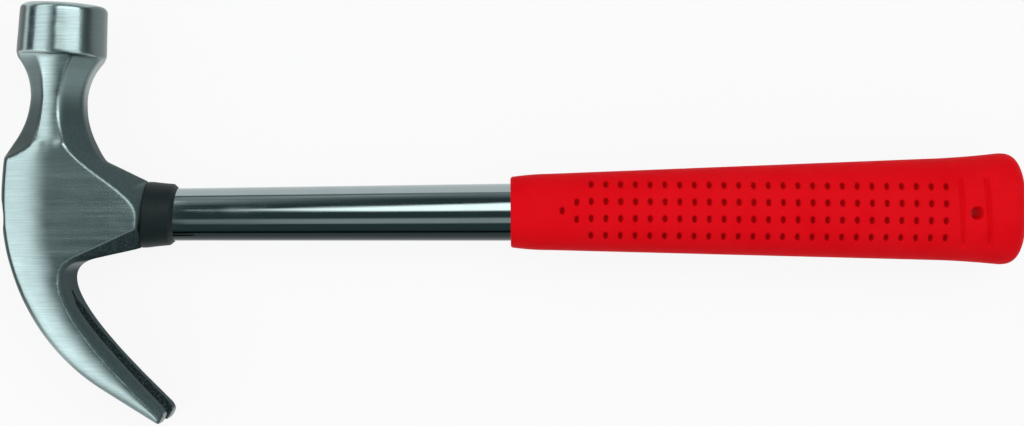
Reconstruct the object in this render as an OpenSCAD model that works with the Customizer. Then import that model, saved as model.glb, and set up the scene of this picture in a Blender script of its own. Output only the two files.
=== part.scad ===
// Claw hammer: forged head, chromed tubular shaft, plastic collar and PVC sleeve grip.
// The hammer lies on its side. Within the model, x runs from the eye to the butt, y points to the
// striking face, and z is the thickness, all measured from the middle of the eye.

/* [Poll and neck] */
// Diameter of the striking face, over its chamfer
face_d = 27.7; // [24:0.1:32]
// Distance from the shaft's axis to the striking face, along the poll
face_h = 67.9; // [60:0.1:80]
// Height of the slight dome on the face
face_crown = 0.4; // [0.1:0.1:1]
// Chamfer round the face
face_chamfer = 1.2; // [0.4:0.1:2.5]
// Angle between the face and the shaft's axis
face_lean = 3.2; // [0:0.1:5]
// Diameter of the poll where the neck begins
poll_d = 28.7; // [26:0.1:34]
// Length of the round poll, from its face to its lower rim
poll_len = 16.4; // [14:0.1:19]
// How far the rim stands out past the neck's corners
rim_lip = 0.3; // [0.1:0.1:0.8]
// Lean of the poll's axis towards the grip
head_cant = 3.5; // [0:0.1:6]
// Width of the octagonal neck across its flats, at the waist
neck_d = 17.3; // [14:0.1:20]
// Height of the waist above the shaft's axis
waist_h = 37.5; // [35:0.1:40]
// Thickness of the octagonal neck across its flats, at the waist
neck_t = 17.5; // [14:0.1:20]
// Radius of the neck's hollow above the waist, towards crown and grip
neck_top_r = 20; // [18:0.5:28]
// Radius of the neck's hollow above the waist, across its thickness
neck_side_r = 40; // [30:0.5:60]
// Radius of the neck's hollow below the waist
neck_low_r = 29.5; // [26:0.5:34]
// Slope of the neck's side flats at their edge towards the crown
neck_slope = 0.3; // [0.05:0.01:0.45]
// How far the edge of those flats towards the grip draws in, halfway up the neck
neck_pinch = 1.5; // [0:0.1:2]

/* [Cheek and eye boss] */
// Thickness of the head across the cheeks
cheek_t = 25; // [23:0.1:27]
// Distance from the middle of the eye to the crown
crown_x = 14.8; // [13:0.1:17]
// Height at which the crown stands furthest forward
crown_y = 3; // [0:0.1:6]
// Height of the crown's top corner
crown_h = 18.5; // [17:0.1:20]
// Radius of the crown above that height
crown_top_r = 120; // [70:1:200]
// Depth over which the cheek rounds off towards the crown
crown_fade = 15.5; // [10:0.1:16]
// How far the cheek drops over that depth
crown_drop = 3.1; // [1.5:0.1:3.6]
// Bevel between cheek and crown
crown_edge = 1; // [0.5:0.1:1.5]
// Diameter of the eye boss where it meets the collar
boss_d = 21.3; // [20:0.1:23]
// Distance from the middle of the eye to the end of the boss
boss_x = 29.9; // [27:0.1:34]
// Lean of the boss's end
boss_lean = 6; // [0:0.5:10]
// Height at which the neck's hollow runs into the shoulder
shoulder_h = 18.4; // [17:0.1:20]
// Gap from the cheek's nose to the end of the boss
nose_gap = 0.5; // [0.2:0.1:2]
// Distance below the shaft's axis of the nose's lower corner
nose_low = 4.6; // [3:0.1:6]
// Angle of the cheek's upper edge where it leaves the neck
edge_angle = 54; // [45:1:60]
// Reach of the curve of the cheek's upper edge at the neck
edge_pull = 11.5; // [8:0.1:14]
// Reach of that curve at the nose
nose_pull = 8.1; // [5:0.1:10]

/* [Claw] */
// Radius of the crown's lower half and the back of the claw
claw_back_r = 69; // [62:0.5:80]
// Angle that the back turns through below the crown
claw_sweep = 58; // [50:0.5:62]
// Length of the straight end of the back
claw_straight = 18; // [14:0.1:24]
// Distance from the middle of the eye to the throat
throat_x = 5.3; // [3:0.1:8]
// Depth of the throat below the shaft's axis
throat_y = 20.5; // [19:0.1:24]
// Distance along the boss's underside at which the throat begins
under_x = 12; // [10:0.1:14]
// Depth of the underside there
under_y = 14.1; // [13:0.1:15]
// Tip of the claw's inner face, towards the grip
tip_x = 36.6; // [33:0.1:40]
// Depth of that tip below the shaft's axis
tip_y = 61.6; // [58:0.1:66]
// Slope of the inner face at the tip
claw_angle = 46.3; // [40:0.1:52]
// Reach of the inner curve at the throat
throat_pull = 9; // [6:0.1:12]
// Reach of the inner curve at the tip
claw_pull = 20; // [14:0.1:26]
// Width of the claw across both tines, at the tips
claw_tip_w = 28.7; // [27:0.1:33]
// Bevel along the tines' inner edges, at the tips
claw_bevel = 2.2; // [1:0.1:2.6]
// Fall of that bevel for its width
bevel_fall = 1.7; // [0.5:0.1:2.5]
// Bevel along those edges at the throat
throat_bevel = 0.6; // [0.3:0.1:1]
// How far the tines' sides drop towards the back, at the tips
tip_drop = 1.5; // [0.5:0.1:2.5]
// Length of the ground tips
tip_len = 3.2; // [2:0.1:5]
// Thickness left at the end of the tips
tip_t = 3.7; // [2.9:0.1:4.5]
// Turn of the tips' end towards the grip
tip_turn = 18; // [0:1:30]
// Width of the nail slot at the tips
slot_w = 7.6; // [6:0.1:9]
// Width of the nail slot at its root
slot_root_w = 1.4; // [0.8:0.1:2.5]
// Depth of the slot's root below the shaft's axis, on the inner face
slot_root_y = 26.5; // [25:0.1:34]
// Slant of the slot's root from the shaft's direction
slot_slant = 60; // [50:1:70]
// Depth of the bevels that let a nail's head in along the slot's inner edges
slot_bevel = 2.8; // [1:0.1:3.2]
// Widening of the slot towards the inner face over that depth, for each side
slot_bevel_w = 3.6; // [1:0.1:4.2]

/* [Shaft, plug and wedge] */
// Diameter of the shaft in the eye
shaft_neck_d = 17; // [15:0.1:18]
// Diameter of the shaft in the grip
shaft_d = 18.5; // [17:0.1:20]
// Wall of the tube
shaft_wall = 1.6; // [1:0.1:2.5]
// Depth of the shaft's end below the crown
shaft_inset = 0.9; // [0.4:0.1:2]
// Start of the shaft's taper
taper_start = 45; // [42:0.5:60]
// End of the shaft's taper
taper_end = 145; // [120:0.5:146]
// Far end of the shaft, inside the grip
shaft_end = 284; // [260:0.5:286]
// Clearance all round between pieces that are driven or slipped over one another
fit_gap = 0.05; // [0.02:0.01:0.1]
// Chamfer round the mouth of the eye at the crown
eye_chamfer = 0.8; // [0.3:0.1:1.5]
// Length of the wooden plug
plug_len = 42; // [30:1:60]
// Length of the steel wedge
wedge_len = 18; // [10:0.5:25]
// Width of the wedge
wedge_w = 10; // [8:0.1:12]
// Thickness of the wedge at its head
wedge_t = 2.6; // [1.5:0.1:4]
// Thickness of the wedge at its point
wedge_tip_t = 0.5; // [0.3:0.1:1]

/* [Collar] */
// Length of the collar along the shaft's axis
collar_len = 10; // [7:0.1:12]
// Diameter of the collar before its chamfer, at the shaft end
collar_end_d = 19.7; // [19:0.1:21]
// Chamfer of the collar at the shaft end
collar_chamfer = 1.1; // [0.5:0.1:1.2]
// Lean of the collar's shaft end
collar_lean = 4.3; // [0:0.1:8]

/* [Grip] */
// Start of the grip
grip_start = 147.6; // [146.5:0.1:160]
// Length of the grip
grip_len = 164.9; // [150:0.1:180]
// Diameter of the grip at its mouth
grip_mouth_d = 22.8; // [22:0.1:25]
// Rounding of the mouth
grip_lip = 0.8; // [0.4:0.1:1.2]
// Length of the swelling behind the mouth
grip_swell = 12; // [8:0.5:20]
// Height of the grip after that swelling
grip_swell_h = 24.6; // [24:0.1:27]
// Height of the grip before the butt
grip_h = 32.9; // [28:0.1:36]
// Thickness of the grip before the butt
grip_t = 27.4; // [25:0.1:31]
// Height of the flared butt
butt_h = 35.8; // [33:0.1:40]
// Thickness of the flared butt
butt_t = 28.7; // [27.5:0.1:32]
// Length of the butt's rounded end
butt_round = 8; // [6:0.1:12]
// Length of the flare before that
butt_flare = 18.5; // [14:0.5:24]
// Squareness of the grip's oval section, where 2 is an ellipse
grip_square = 2.25; // [2:0.05:3]
// Distance from the butt's end to the hang hole
hang_in = 17.3; // [15:0.1:22]
// Sideways offset of the hang hole
hang_y = -1.3; // [-3:0.1:3]
// Diameter of the hang hole
hang_d = 4; // [3:0.1:5]
// Distance from the butt's end to the cross groove nearest it
groove_in = 13.5; // [12:0.1:16]
// Distance between the cross grooves
groove_pitch = 8.3; // [7:0.1:10]
// Width of a cross groove
groove_w = 2.4; // [1.4:0.1:3]
// Depth of a cross groove
groove_depth = 0.9; // [0.4:0.1:1.2]
// Length of a cross groove
groove_len = 24; // [16:0.5:28]
// Sideways offset of the cross grooves
groove_y = -1; // [-3:0.1:3]
// Lean of the cross grooves
groove_lean = 3; // [0:0.1:5]

/* [Hidden] */
$fn = 96;

// Overshoot of cutting solids
over = 5;
// Reach of cutting blocks, larger than the head
reach = 2 * (face_h + tip_y);

// General curve functions
function mix(a, b, t) = a + (b - a) * t;
function unit(v) = v / norm(v);
function ease(t) = t * t * (3 - 2 * t);
function bezier(p, t) =
    p[0] * pow(1 - t, 3) + p[1] * 3 * t * pow(1 - t, 2) + p[2] * 3 * t * t * (1 - t) + p[3] * pow(t, 3);

// Poll and neck: an octagon about the canted axis, whose flats follow two hollow arcs
cant_up = [sin(head_cant), cos(head_cant)];
cant_side = [cos(head_cant), -sin(head_cant)];
octagon = tan(22.5);
neck_a = neck_d / 2;
neck_z = neck_t / 2;
cheek_z = cheek_t / 2;
// How far the octagonal blank stands outside the round poll
blank_margin = 1.5;
blank_a = poll_d / 2 + blank_margin;
top_turn = acos(1 - (blank_a - neck_a) / neck_top_r);
low_turn = acos(1 - (cheek_z - neck_z) / neck_low_r);
cheek_top = waist_h - neck_low_r * sin(low_turn);
rim_h = face_h - poll_len;
function hollow(half, radius, dh) = half + radius - sqrt(max(0, pow(radius, 2) - pow(dh, 2)));
function low_a(h) = hollow(neck_a, neck_low_r, waist_h - h);
function low_z(h) = hollow(neck_z, neck_low_r, waist_h - h);
function top_z(h) = min(blank_a, hollow(neck_z, neck_side_r, h - waist_h));

// Crown and back of the claw: a flat arc above, a rounder one below, then a straight end
back_cx = claw_back_r - crown_x;
sweep_len = claw_back_r * claw_sweep * PI / 180;
back_turn = [sin(claw_sweep), -cos(claw_sweep)];
function back_arc(turn) = [back_cx - claw_back_r * cos(turn), crown_y - claw_back_r * sin(turn)];
function crown_arc(y) = [crown_top_r - crown_x - sqrt(pow(crown_top_r, 2) - pow(y - crown_y, 2)), y];
function back_at(y) = y > crown_y ? crown_arc(y) : back_arc(asin((crown_y - y) / claw_back_r));
function back_along(s) =
    s < sweep_len ? back_arc(s / claw_back_r * 180 / PI)
                  : back_arc(claw_sweep) + back_turn * (s - sweep_len);
throat_s = asin((crown_y + throat_y) / claw_back_r) * PI / 180 * claw_back_r;
tip_s = sweep_len + claw_straight;

// Edge of the cheek's face towards the grip
boss_r = boss_d / 2;
// Height of the nose's upper corner, as a share of its lower corner's
nose_share = 0.2;
function boss_end(y) = [boss_x + y * tan(boss_lean), y];
edge_start = cant_up * cheek_top + cant_side * (low_a(cheek_top) * octagon);
nose = [boss_x - nose_gap, -nose_low * nose_share];
nose_corner = [nose[0] - nose_gap / 2, -nose_low];
edge_curve = [
    edge_start,
    edge_start + edge_pull * [cos(edge_angle), -sin(edge_angle)],
    nose + [0, nose_pull],
    nose
];

// Underside of the boss, throat and inner face of the claw
boss_low = boss_end(-boss_r);
under = [under_x, -under_y];
// Width and rise of the bevel along the boss's underside
under_bevel = [1.6, 1.1];
under_edge = under + [-under_bevel[0], under_bevel[1]];
throat = [throat_x, -throat_y];
tip = [tip_x, -tip_y];
under_dir = unit(under - boss_low);
// Fullness of the throat's curve
throat_round = 0.62;
throat_curve = [
    under,
    under + under_dir * (under_x - throat_x) / 2,
    throat + [0, (throat_y - under_y) * throat_round],
    throat
];
claw_curve = [
    throat,
    throat - [0, throat_pull],
    tip - claw_pull * [cos(claw_angle), -sin(claw_angle)],
    tip
];

// Largest share of a section's width that its rounding may take, and of the rounding that its bevel may
fade_share = 0.9;

// One section of the head, as the half ring above its middle plane, from the outer rail to the inner one.
// l, n and r are the outer rail, the cheek's edge and the inner rail. The outer flat is zl high, the bevel
// beside it is e wide, the face rises over fade by drop up to zh, and the inner flat is zr high.
fade_steps = 5;
function half_ring(l, n, r, zl, e, fade, drop, zh, zr) =
    let (
        along = unit(n - l),
        room = norm(n - l),
        f = min(fade, room * fade_share),
        b = min(e, f * fade_share)
    )
    concat(
        [[l[0], l[1], zl]],
        [for (i = [0:fade_steps])
            let (
                d = mix(b, f, i / fade_steps),
                p = l + along * d
            )
            [p[0], p[1], zh - drop * pow(1 - d / f, 2)]],
        [[n[0], n[1], zh]],
        [[r[0], r[1], zr]]
    );

// Reach and drop of the rounding that leans a neck's side flat towards the crown
function neck_fade(a) = (a * (1 + octagon) - neck_pinch) * fade_share;
function neck_drop(a) = neck_slope * pow(neck_fade(a), 2) / (2 * (neck_fade(a) - a * (1 - octagon)));

// Octagonal section of the neck at height h, a wide and z thick on either side of the axis
function neck_ring(h, a, z) =
    let (
        c = cant_up * h,
        t = a * octagon,
        up = (h - cheek_top) / (rim_h - cheek_top),
        edge = t - neck_pinch * sin(180 * min(1, up))
    )
    half_ring(
        c - cant_side * a, c + cant_side * edge, c + cant_side * a,
        z * octagon, a - t, neck_fade(a), neck_drop(a), z, z * octagon
    );

neck_top_steps = 9;
neck_low_steps = 8;
neck_rings = concat(
    [neck_ring(face_h + over, blank_a, blank_a)],
    [for (i = [0:neck_top_steps])
        let (
            turn = top_turn * (1 - i / neck_top_steps),
            h = waist_h + neck_top_r * sin(turn)
        )
        neck_ring(h, neck_a + neck_top_r * (1 - cos(turn)), top_z(h))],
    [for (i = [1:neck_low_steps])
        let (h = waist_h - neck_low_r * sin(low_turn * i / neck_low_steps))
        neck_ring(h, low_a(h), low_z(h))]
);

// Cheek: the neck's outer bevel narrows to the crown's corner while the inner flat follows the shoulder
corner = back_at(crown_h);
crown_z = cheek_z - crown_drop - crown_edge;
neck_bevel = low_a(cheek_top) * (1 - octagon);
neck_flat = cheek_z * octagon;
// Height of the shoulder's inner flat, as a share of the neck's
shoulder_share = 0.8;
shoulder_flat = neck_flat * shoulder_share;
// Places along the cheek's upper edge that lie across from the crown's corner and from the boss's top
corner_t = 0.2;
boss_top_t = 0.62;
corner_steps = 3;
shoulder_steps = 4;
shoulder = cant_up * shoulder_h + cant_side * low_a(shoulder_h);
boss_top = boss_end(boss_r);
// Least height of an inner flat
least_z = 0.3;

corner_rings = [for (i = [1:corner_steps])
    let (
        q = i / corner_steps,
        h = mix(cheek_top, crown_h, q),
        l = mix(cant_up * h - cant_side * low_a(h), corner, q),
        hr = mix(cheek_top, shoulder_h, q)
    )
    half_ring(
        l,
        bezier(edge_curve, corner_t * q),
        cant_up * hr + cant_side * low_a(hr),
        mix(neck_flat, crown_z, q),
        mix(neck_bevel, crown_edge, ease(q)),
        mix(neck_fade(low_a(cheek_top)), crown_fade, q),
        mix(neck_drop(low_a(cheek_top)), crown_drop, q),
        cheek_z,
        mix(neck_flat, shoulder_flat, q)
    )];

shoulder_rings = [for (i = [1:shoulder_steps])
    let (
        q = i / shoulder_steps,
        n = bezier(edge_curve, mix(corner_t, boss_top_t, q)),
        n_end = bezier(edge_curve, boss_top_t)
    )
    half_ring(
        back_at(mix(crown_h, n_end[1], q)), n, mix(shoulder, boss_top, q),
        crown_z, crown_edge, crown_fade, crown_drop, cheek_z, mix(shoulder_flat, least_z, q)
    )];

// Round end of the boss: the inner rail runs down a half circle while the cheek's edge rounds the nose
boss_steps = 12;
// Turns of that half circle at which the edge reaches the nose's upper and lower corners
nose_turn = 0;
corner_turn = -45;
// Share of the underside's edge that lies beside the half circle
under_share = 0.22;
function nose_edge(turn) =
    turn > nose_turn ? bezier(edge_curve, mix(1, boss_top_t, (turn - nose_turn) / (90 - nose_turn)))
    : turn > corner_turn ? mix(nose, nose_corner, (nose_turn - turn) / (nose_turn - corner_turn))
    : mix(nose_corner, under_edge, under_share * (corner_turn - turn) / (90 + corner_turn));
boss_rings = [for (i = [1:boss_steps])
    let (
        turn = 90 - 180 * i / boss_steps,
        n = nose_edge(turn)
    )
    half_ring(
        back_at(n[1]), n, boss_end(boss_r * sin(turn)),
        crown_z, crown_edge, crown_fade, crown_drop, cheek_z, max(least_z, boss_r * cos(turn))
    )];

// Underside and throat
under_steps = 4;
// How early the underside's flat spreads to its full height
under_power = 0.6;
under_z = cheek_z - under_bevel[0] - under_bevel[1];
throat_z = cheek_z - throat_bevel;
under_rings = [for (i = [1:under_steps])
    let (
        q = i / under_steps,
        n = mix(mix(nose_corner, under_edge, under_share), under_edge, q)
    )
    half_ring(
        back_at(n[1]), n, mix(boss_low, under, q),
        crown_z, crown_edge, crown_fade, crown_drop, cheek_z, mix(least_z, under_z, pow(q, under_power))
    )];

throat_steps = 6;
throat_rings = [for (i = [1:throat_steps])
    let (
        q = i / throat_steps,
        r = bezier(throat_curve, q),
        n = r + mix(under_edge - under, [-throat_bevel, 0], q)
    )
    half_ring(
        back_at(mix(under_edge[1], -throat_y, q)), n, r,
        crown_z, crown_edge, crown_fade, crown_drop, cheek_z, mix(under_z, throat_z, q)
    )];

// Claw, from the throat to the ground tips
claw_steps = 16;
tip_z = claw_tip_w / 2;
// Bevel between the tines' sides and the back, at the tips
tip_edge = 0.6;
// Share of a tine's depth that rounds off towards the back, at the tips
tine_fade = 0.75;
// Fall of the inner bevel for its width, at the throat and at the tips
end_fall = 0.5;
claw_rings = [for (i = [1:claw_steps])
    let (
        t = i / claw_steps,
        l = back_along(mix(throat_s, tip_s, t)),
        r = bezier(claw_curve, t),
        z = mix(cheek_z, tip_z, sin(90 * t)),
        drop = mix(crown_drop, tip_drop, t),
        bevel = mix(throat_bevel, claw_bevel, sin(90 * t)),
        edge = mix(crown_edge, tip_edge, t)
    )
    half_ring(
        l, r + unit(l - r) * bevel, r,
        z - drop - edge, edge, mix(crown_fade, norm(r - l) * tine_fade, sqrt(t)), drop,
        z, z - bevel * mix(end_fall, bevel_fall, sin(180 * t))
    )];

tip_back = back_along(tip_s + tip_len);
tip_dir = unit(tip - back_along(tip_s));
tip_turned = [
    tip_dir[0] * cos(tip_turn) - tip_dir[1] * sin(tip_turn),
    tip_dir[0] * sin(tip_turn) + tip_dir[1] * cos(tip_turn)
];
tip_front = tip_back + tip_turned * tip_t;
tip_rings = [
    half_ring(
        tip_back, tip_front - tip_turned * claw_bevel, tip_front,
        tip_z - tip_drop - tip_edge, tip_edge, tip_t * tine_fade, tip_drop,
        tip_z, tip_z - claw_bevel * end_fall
    )
];

// Closed solid through a list of half rings, each mirrored below the middle plane
module loft(halves) {
    rings = [for (h = halves) concat(h, [for (i = [len(h) - 1:-1:0]) [h[i][0], h[i][1], -h[i][2]]])];
    m = len(rings[0]);
    k = m / 2;
    last = (len(rings) - 1) * m;
    sides = [for (j = [0:len(rings) - 2], i = [0:m - 1], half = [0, 1])
        let (
            a = j * m + i,
            b = j * m + (i + 1) % m
        )
        half == 0 ? [a, b, b + m] : [a, b + m, a + m]];
    caps = [for (i = [0:k - 2], half = [0, 1])
        half == 0 ? [i, m - 1 - i, m - 2 - i] : [i, m - 2 - i, i + 1]];
    ends = [for (c = caps) [last + c[0], last + c[2], last + c[1]]];
    polyhedron(points = [for (r = rings, p = r) p], faces = concat(sides, caps, ends), convexity = 10);
}

// Places a solid drawn along +z so that its axis runs along the shaft
module along_shaft(x) {
    translate([x, 0, 0])
        rotate([0, 90, 0])
            children();
}

// Turns a solid drawn along +z so that it points to the striking face, leaning towards the grip
module along_poll(lean) {
    rotate([0, 0, -lean])
        rotate([-90, 0, 0])
            children();
}

// Round poll: a slight cone about the canted axis, from its lower rim to a chamfered and domed face
face_at = cant_up * face_h;
poll_slope = (poll_d - face_d) / 2 / poll_len;
dome_steps = 6;
face_r = face_d / 2 - face_chamfer;
module poll() {
    intersection() {
        along_poll(head_cant)
            rotate_extrude()
                polygon([
                    [0, rim_h],
                    [poll_d / 2, rim_h],
                    [face_d / 2 - poll_slope * over, face_h + over],
                    [0, face_h + over]
                ]);
        translate([face_at[0], face_at[1], 0])
            along_poll(face_lean)
                rotate_extrude()
                    polygon(concat(
                        [[0, -face_h], [blank_a + over, -face_h], [blank_a + over, face_r - blank_a - over]],
                        [for (i = [dome_steps:-1:0])
                            let (r = face_r * i / dome_steps)
                            [r, face_crown * (1 - pow(r / face_r, 2))]]
                    ));
    }
}

// Everything below the waist, and a round above it that ends inside the poll, all of which overlap a little
waist_lap = 1;
module neck_envelope() {
    along_poll(head_cant)
        translate([0, 0, waist_h])
            cylinder(r = poll_d / 2 - rim_lip, h = rim_h + waist_lap - waist_h);
    translate([-reach / 2, -reach, -reach / 2])
        cube([reach, reach + waist_h + waist_lap, reach]);
}

// V nail slot between the tines, with a round root
slot_root = [throat_x, -slot_root_y];
// Start of the cut in front of the root, in the open throat
slot_lead = 2;
root_r = slot_root_w / 2;
slot_spread = (slot_w - slot_root_w) / 2 / norm(tip - slot_root);
module nail_slot() {
    span = norm(tip_front - slot_root) + over;
    spread = root_r + slot_spread * span;
    translate([slot_root[0], slot_root[1], 0])
        rotate([0, 0, slot_slant])
            rotate([0, -90, 0])
                translate([0, 0, -slot_lead])
                    linear_extrude(reach)
                        union() {
                            circle(root_r);
                            polygon([[-root_r, 0], [root_r, 0], [spread, -span], [-spread, -span]]);
                        }
}

// Bevels of the slot's edges: a V that follows the claw's inner curve from the slot's root out past the tips
slot_along = [sin(slot_slant), -cos(slot_slant)];
function slot_half(p) = root_r + slot_spread * ((p - slot_root) * slot_along);
bevel_steps = 12;
// Places along the inner curve at which the bevels start, reach their full depth and end
bevel_from = 0.2;
bevel_full = 0.36;
bevel_to = 1.12;
module slot_bevels() {
    loft([for (i = [0:bevel_steps])
        let (
            t = mix(bevel_from, bevel_to, i / bevel_steps),
            r = bezier(claw_curve, t),
            into = unit(back_along(mix(throat_s, tip_s, t)) - r),
            deep = slot_bevel * min(1, (t - bevel_from) / (bevel_full - bevel_from)),
            inner = r + into * deep,
            outer = r - into * over,
            half = slot_half(inner) - fit_gap
        )
        [
            [inner[0], inner[1], half],
            [outer[0], outer[1], half + slot_bevel_w * (deep + over) / slot_bevel]
        ]]);
}

shaft_r = shaft_d / 2;
shaft_neck_r = shaft_neck_d / 2;
eye_r = shaft_neck_r + fit_gap;
head_end = -crown_x + shaft_inset;

module eye() {
    along_shaft(-crown_x - over)
        cylinder(r = eye_r, h = crown_x + boss_x + 2 * over);
    along_shaft(-crown_x - eye_chamfer)
        cylinder(r1 = eye_r + 2 * eye_chamfer, r2 = eye_r, h = 2 * eye_chamfer);
}

// Forged head
module head() {
    color("slategray")
        place()
            difference() {
                union() {
                    intersection() {
                        loft(concat(
                            neck_rings, corner_rings, shoulder_rings, boss_rings,
                            under_rings, throat_rings, claw_rings, tip_rings
                        ));
                        neck_envelope();
                    }
                    poll();
                }
                eye();
                nail_slot();
                slot_bevels();
            }
}

// Chromed tube, drawn down towards the head
module shaft() {
    color("silver")
        place()
            along_shaft(0)
                rotate_extrude()
                    polygon([
                        [shaft_neck_r - shaft_wall, head_end],
                        [shaft_neck_r, head_end],
                        [shaft_neck_r, taper_start],
                        [shaft_r, taper_end],
                        [shaft_r, shaft_end],
                        [shaft_r - shaft_wall, shaft_end],
                        [shaft_r - shaft_wall, taper_end],
                        [shaft_neck_r - shaft_wall, taper_start]
                    ]);
}

// Outline of the wedge along the shaft, grown by a clearance at its sides and led out past its head
module wedge_outline(gap, lead) {
    polygon([
        [head_end - lead, -wedge_t / 2 - gap],
        [head_end, -wedge_t / 2 - gap],
        [head_end + wedge_len, -wedge_tip_t / 2 - gap],
        [head_end + wedge_len, wedge_tip_t / 2 + gap],
        [head_end, wedge_t / 2 + gap],
        [head_end - lead, wedge_t / 2 + gap]
    ]);
}

// Wooden plug inside the tube, split by the wedge
module core_plug() {
    color("burlywood")
        place()
            difference() {
                along_shaft(head_end)
                    cylinder(r = shaft_neck_r - shaft_wall - fit_gap, h = plug_len);
                translate([0, 0, -wedge_w / 2 - fit_gap])
                    linear_extrude(wedge_w + 2 * fit_gap)
                        wedge_outline(fit_gap, over);
            }
}

// Steel wedge
module wedge() {
    color("dimgray")
        place()
            translate([0, 0, -wedge_w / 2])
                linear_extrude(wedge_w)
                    wedge_outline(0, 0);
}

// Half space in front of a leaning plane that crosses the shaft's axis at x
module before_plane(x, lean) {
    translate([x, 0, 0])
        rotate([0, 0, -lean])
            translate([-reach, -reach / 2, -reach / 2])
                cube([reach, reach, reach]);
}

// Plastic collar between the boss and the bare shaft
collar_x = boss_x + collar_len;
module collar() {
    lean_room = collar_end_d / 2 * tan(collar_lean);
    color("black")
        place()
            difference() {
                intersection() {
                    along_shaft(0)
                        rotate_extrude()
                            polygon([
                                [0, boss_x - over],
                                [boss_r, boss_x - over],
                                [boss_r, boss_x + boss_r * tan(boss_lean)],
                                [collar_end_d / 2, collar_x - collar_chamfer - lean_room],
                                [collar_end_d / 2 - collar_chamfer, collar_x],
                                [collar_end_d / 2 - collar_chamfer, collar_x + over],
                                [0, collar_x + over]
                            ]);
                    before_plane(collar_x, collar_lean);
                }
                before_plane(boss_x + fit_gap, boss_lean);
                along_shaft(boss_x - over)
                    cylinder(r = eye_r, h = collar_len + 2 * over);
            }
}

// Grip: an oval sleeve whose half height and half thickness follow the same stations along x
grip_end = grip_start + grip_len;
flare_end = grip_end - butt_round;
flare_start = flare_end - butt_flare;
swell_end = grip_start + grip_swell;
// Fullness of the butt's rounded end
round_power = 3;
// Share of the whole gain in thickness that lies in the swelling behind the mouth
swell_share = 0.2;
// Share of the butt's flare that rises straight
flare_straight = 0.6;
function flare(t) = mix(t * t, t, flare_straight);
function grip_half(x, mouth, swell, body, butt) =
    x < swell_end ? mix(mouth, swell, sin(90 * (x - grip_start) / grip_swell))
    : x < flare_start ? mix(swell, body, (x - swell_end) / (flare_start - swell_end))
    : x < flare_end ? mix(body, butt, flare((x - flare_start) / butt_flare))
    : butt * pow(max(0, 1 - pow((x - flare_end) / butt_round, round_power)), 1 / round_power);
function half_y(x) = grip_half(x, grip_mouth_d / 2, grip_swell_h / 2, grip_h / 2, butt_h / 2);
swell_t = mix(grip_mouth_d, grip_t, swell_share);
function half_z(x) = grip_half(x, grip_mouth_d / 2, swell_t / 2, grip_t / 2, butt_t / 2);

// Depth of the cross grooves at a station x and a place y across the grip
groove_middles = [for (g = [0, 1]) grip_end - groove_in - g * groove_pitch];
function groove_at(x, y) =
    let (
        off = y - groove_y,
        gap = min([for (m = groove_middles) abs(x - m + off * tan(groove_lean))]),
        dip = gap < groove_w / 2 ? (1 + cos(360 * gap / groove_w)) / 2 : 0,
        side = min(1, max(0, (groove_len / 2 - abs(off)) / groove_w))
    )
    groove_depth * dip * ease(side);

grip_sides = 48;
function oval(a, power) = sign(a) * pow(abs(a), 2 / power);
function grip_ring(x, shrink) =
    [for (i = [0:grip_sides - 1])
        let (
            turn = 360 * (i + 0.5) / grip_sides,
            y = (half_y(x) - shrink) * oval(cos(turn), grip_square),
            z = (half_z(x) - shrink) * oval(sin(turn), grip_square)
        )
        [x, y, z - sign(z) * groove_at(x, y)]];

// Stations along the grip: mouth, swelling, body, flare with the grooves, and rounded end
swell_steps = 5;
body_steps = 4;
flare_steps = 4;
round_steps = 9;
groove_steps = 8;
// Share of the rounded end that is kept before its flat
last_round = 0.995;
// Share of the lip at which its bevel breaks
lip_break = 0.3;
groove_span = groove_w + groove_len * tan(groove_lean);
groove_xs = [for (m = groove_middles, i = [-groove_steps / 2:groove_steps / 2])
    m + i * groove_span / groove_steps];
function in_groove(x) = min([for (g = groove_xs) abs(g - x)]) < groove_span / groove_steps;
plain_xs = concat(
    [for (i = [1:swell_steps]) mix(grip_start + grip_lip, swell_end, i / swell_steps)],
    [for (i = [1:body_steps]) mix(swell_end, flare_start, i / body_steps)],
    [for (i = [1:flare_steps]) mix(flare_start, flare_end, i / flare_steps)],
    [for (i = [1:round_steps]) flare_end + butt_round * last_round * sin(90 * i / round_steps)]
);
function sorted(v) =
    len(v) <= 1 ? v
    : let (p = v[floor(len(v) / 2)])
      concat(
          sorted([for (x = v) if (x < p) x]),
          [for (x = v) if (x == p) x],
          sorted([for (x = v) if (x > p) x])
      );
station_xs = sorted(concat([for (x = plain_xs) if (!in_groove(x)) x], groove_xs));

module grip_blank() {
    rings = concat(
        [grip_ring(grip_start, grip_lip), grip_ring(grip_start + grip_lip * lip_break, grip_lip * lip_break)],
        [grip_ring(grip_start + grip_lip, 0)],
        [for (x = station_xs) grip_ring(x, 0)]
    );
    m = grip_sides;
    last = (len(rings) - 1) * m;
    sides = [for (j = [0:len(rings) - 2], i = [0:m - 1], half = [0, 1])
        let (
            a = j * m + i,
            b = j * m + (i + 1) % m
        )
        half == 0 ? [a, b + m, b] : [a, a + m, b + m]];
    mouth = [for (i = [1:m - 2]) [0, i, i + 1]];
    butt = [for (i = [1:m - 2]) [last, last + i + 1, last + i]];
    polyhedron(points = [for (r = rings, p = r) p], faces = concat(sides, mouth, butt), convexity = 4);
}

module grip() {
    color("crimson")
        place()
            difference() {
                grip_blank();
                along_shaft(grip_start - over)
                    cylinder(r = shaft_r + fit_gap, h = shaft_end + fit_gap - grip_start + over);
                translate([grip_end - hang_in, hang_y, -reach / 2])
                    cylinder(d = hang_d, h = reach);
            }
}

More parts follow.
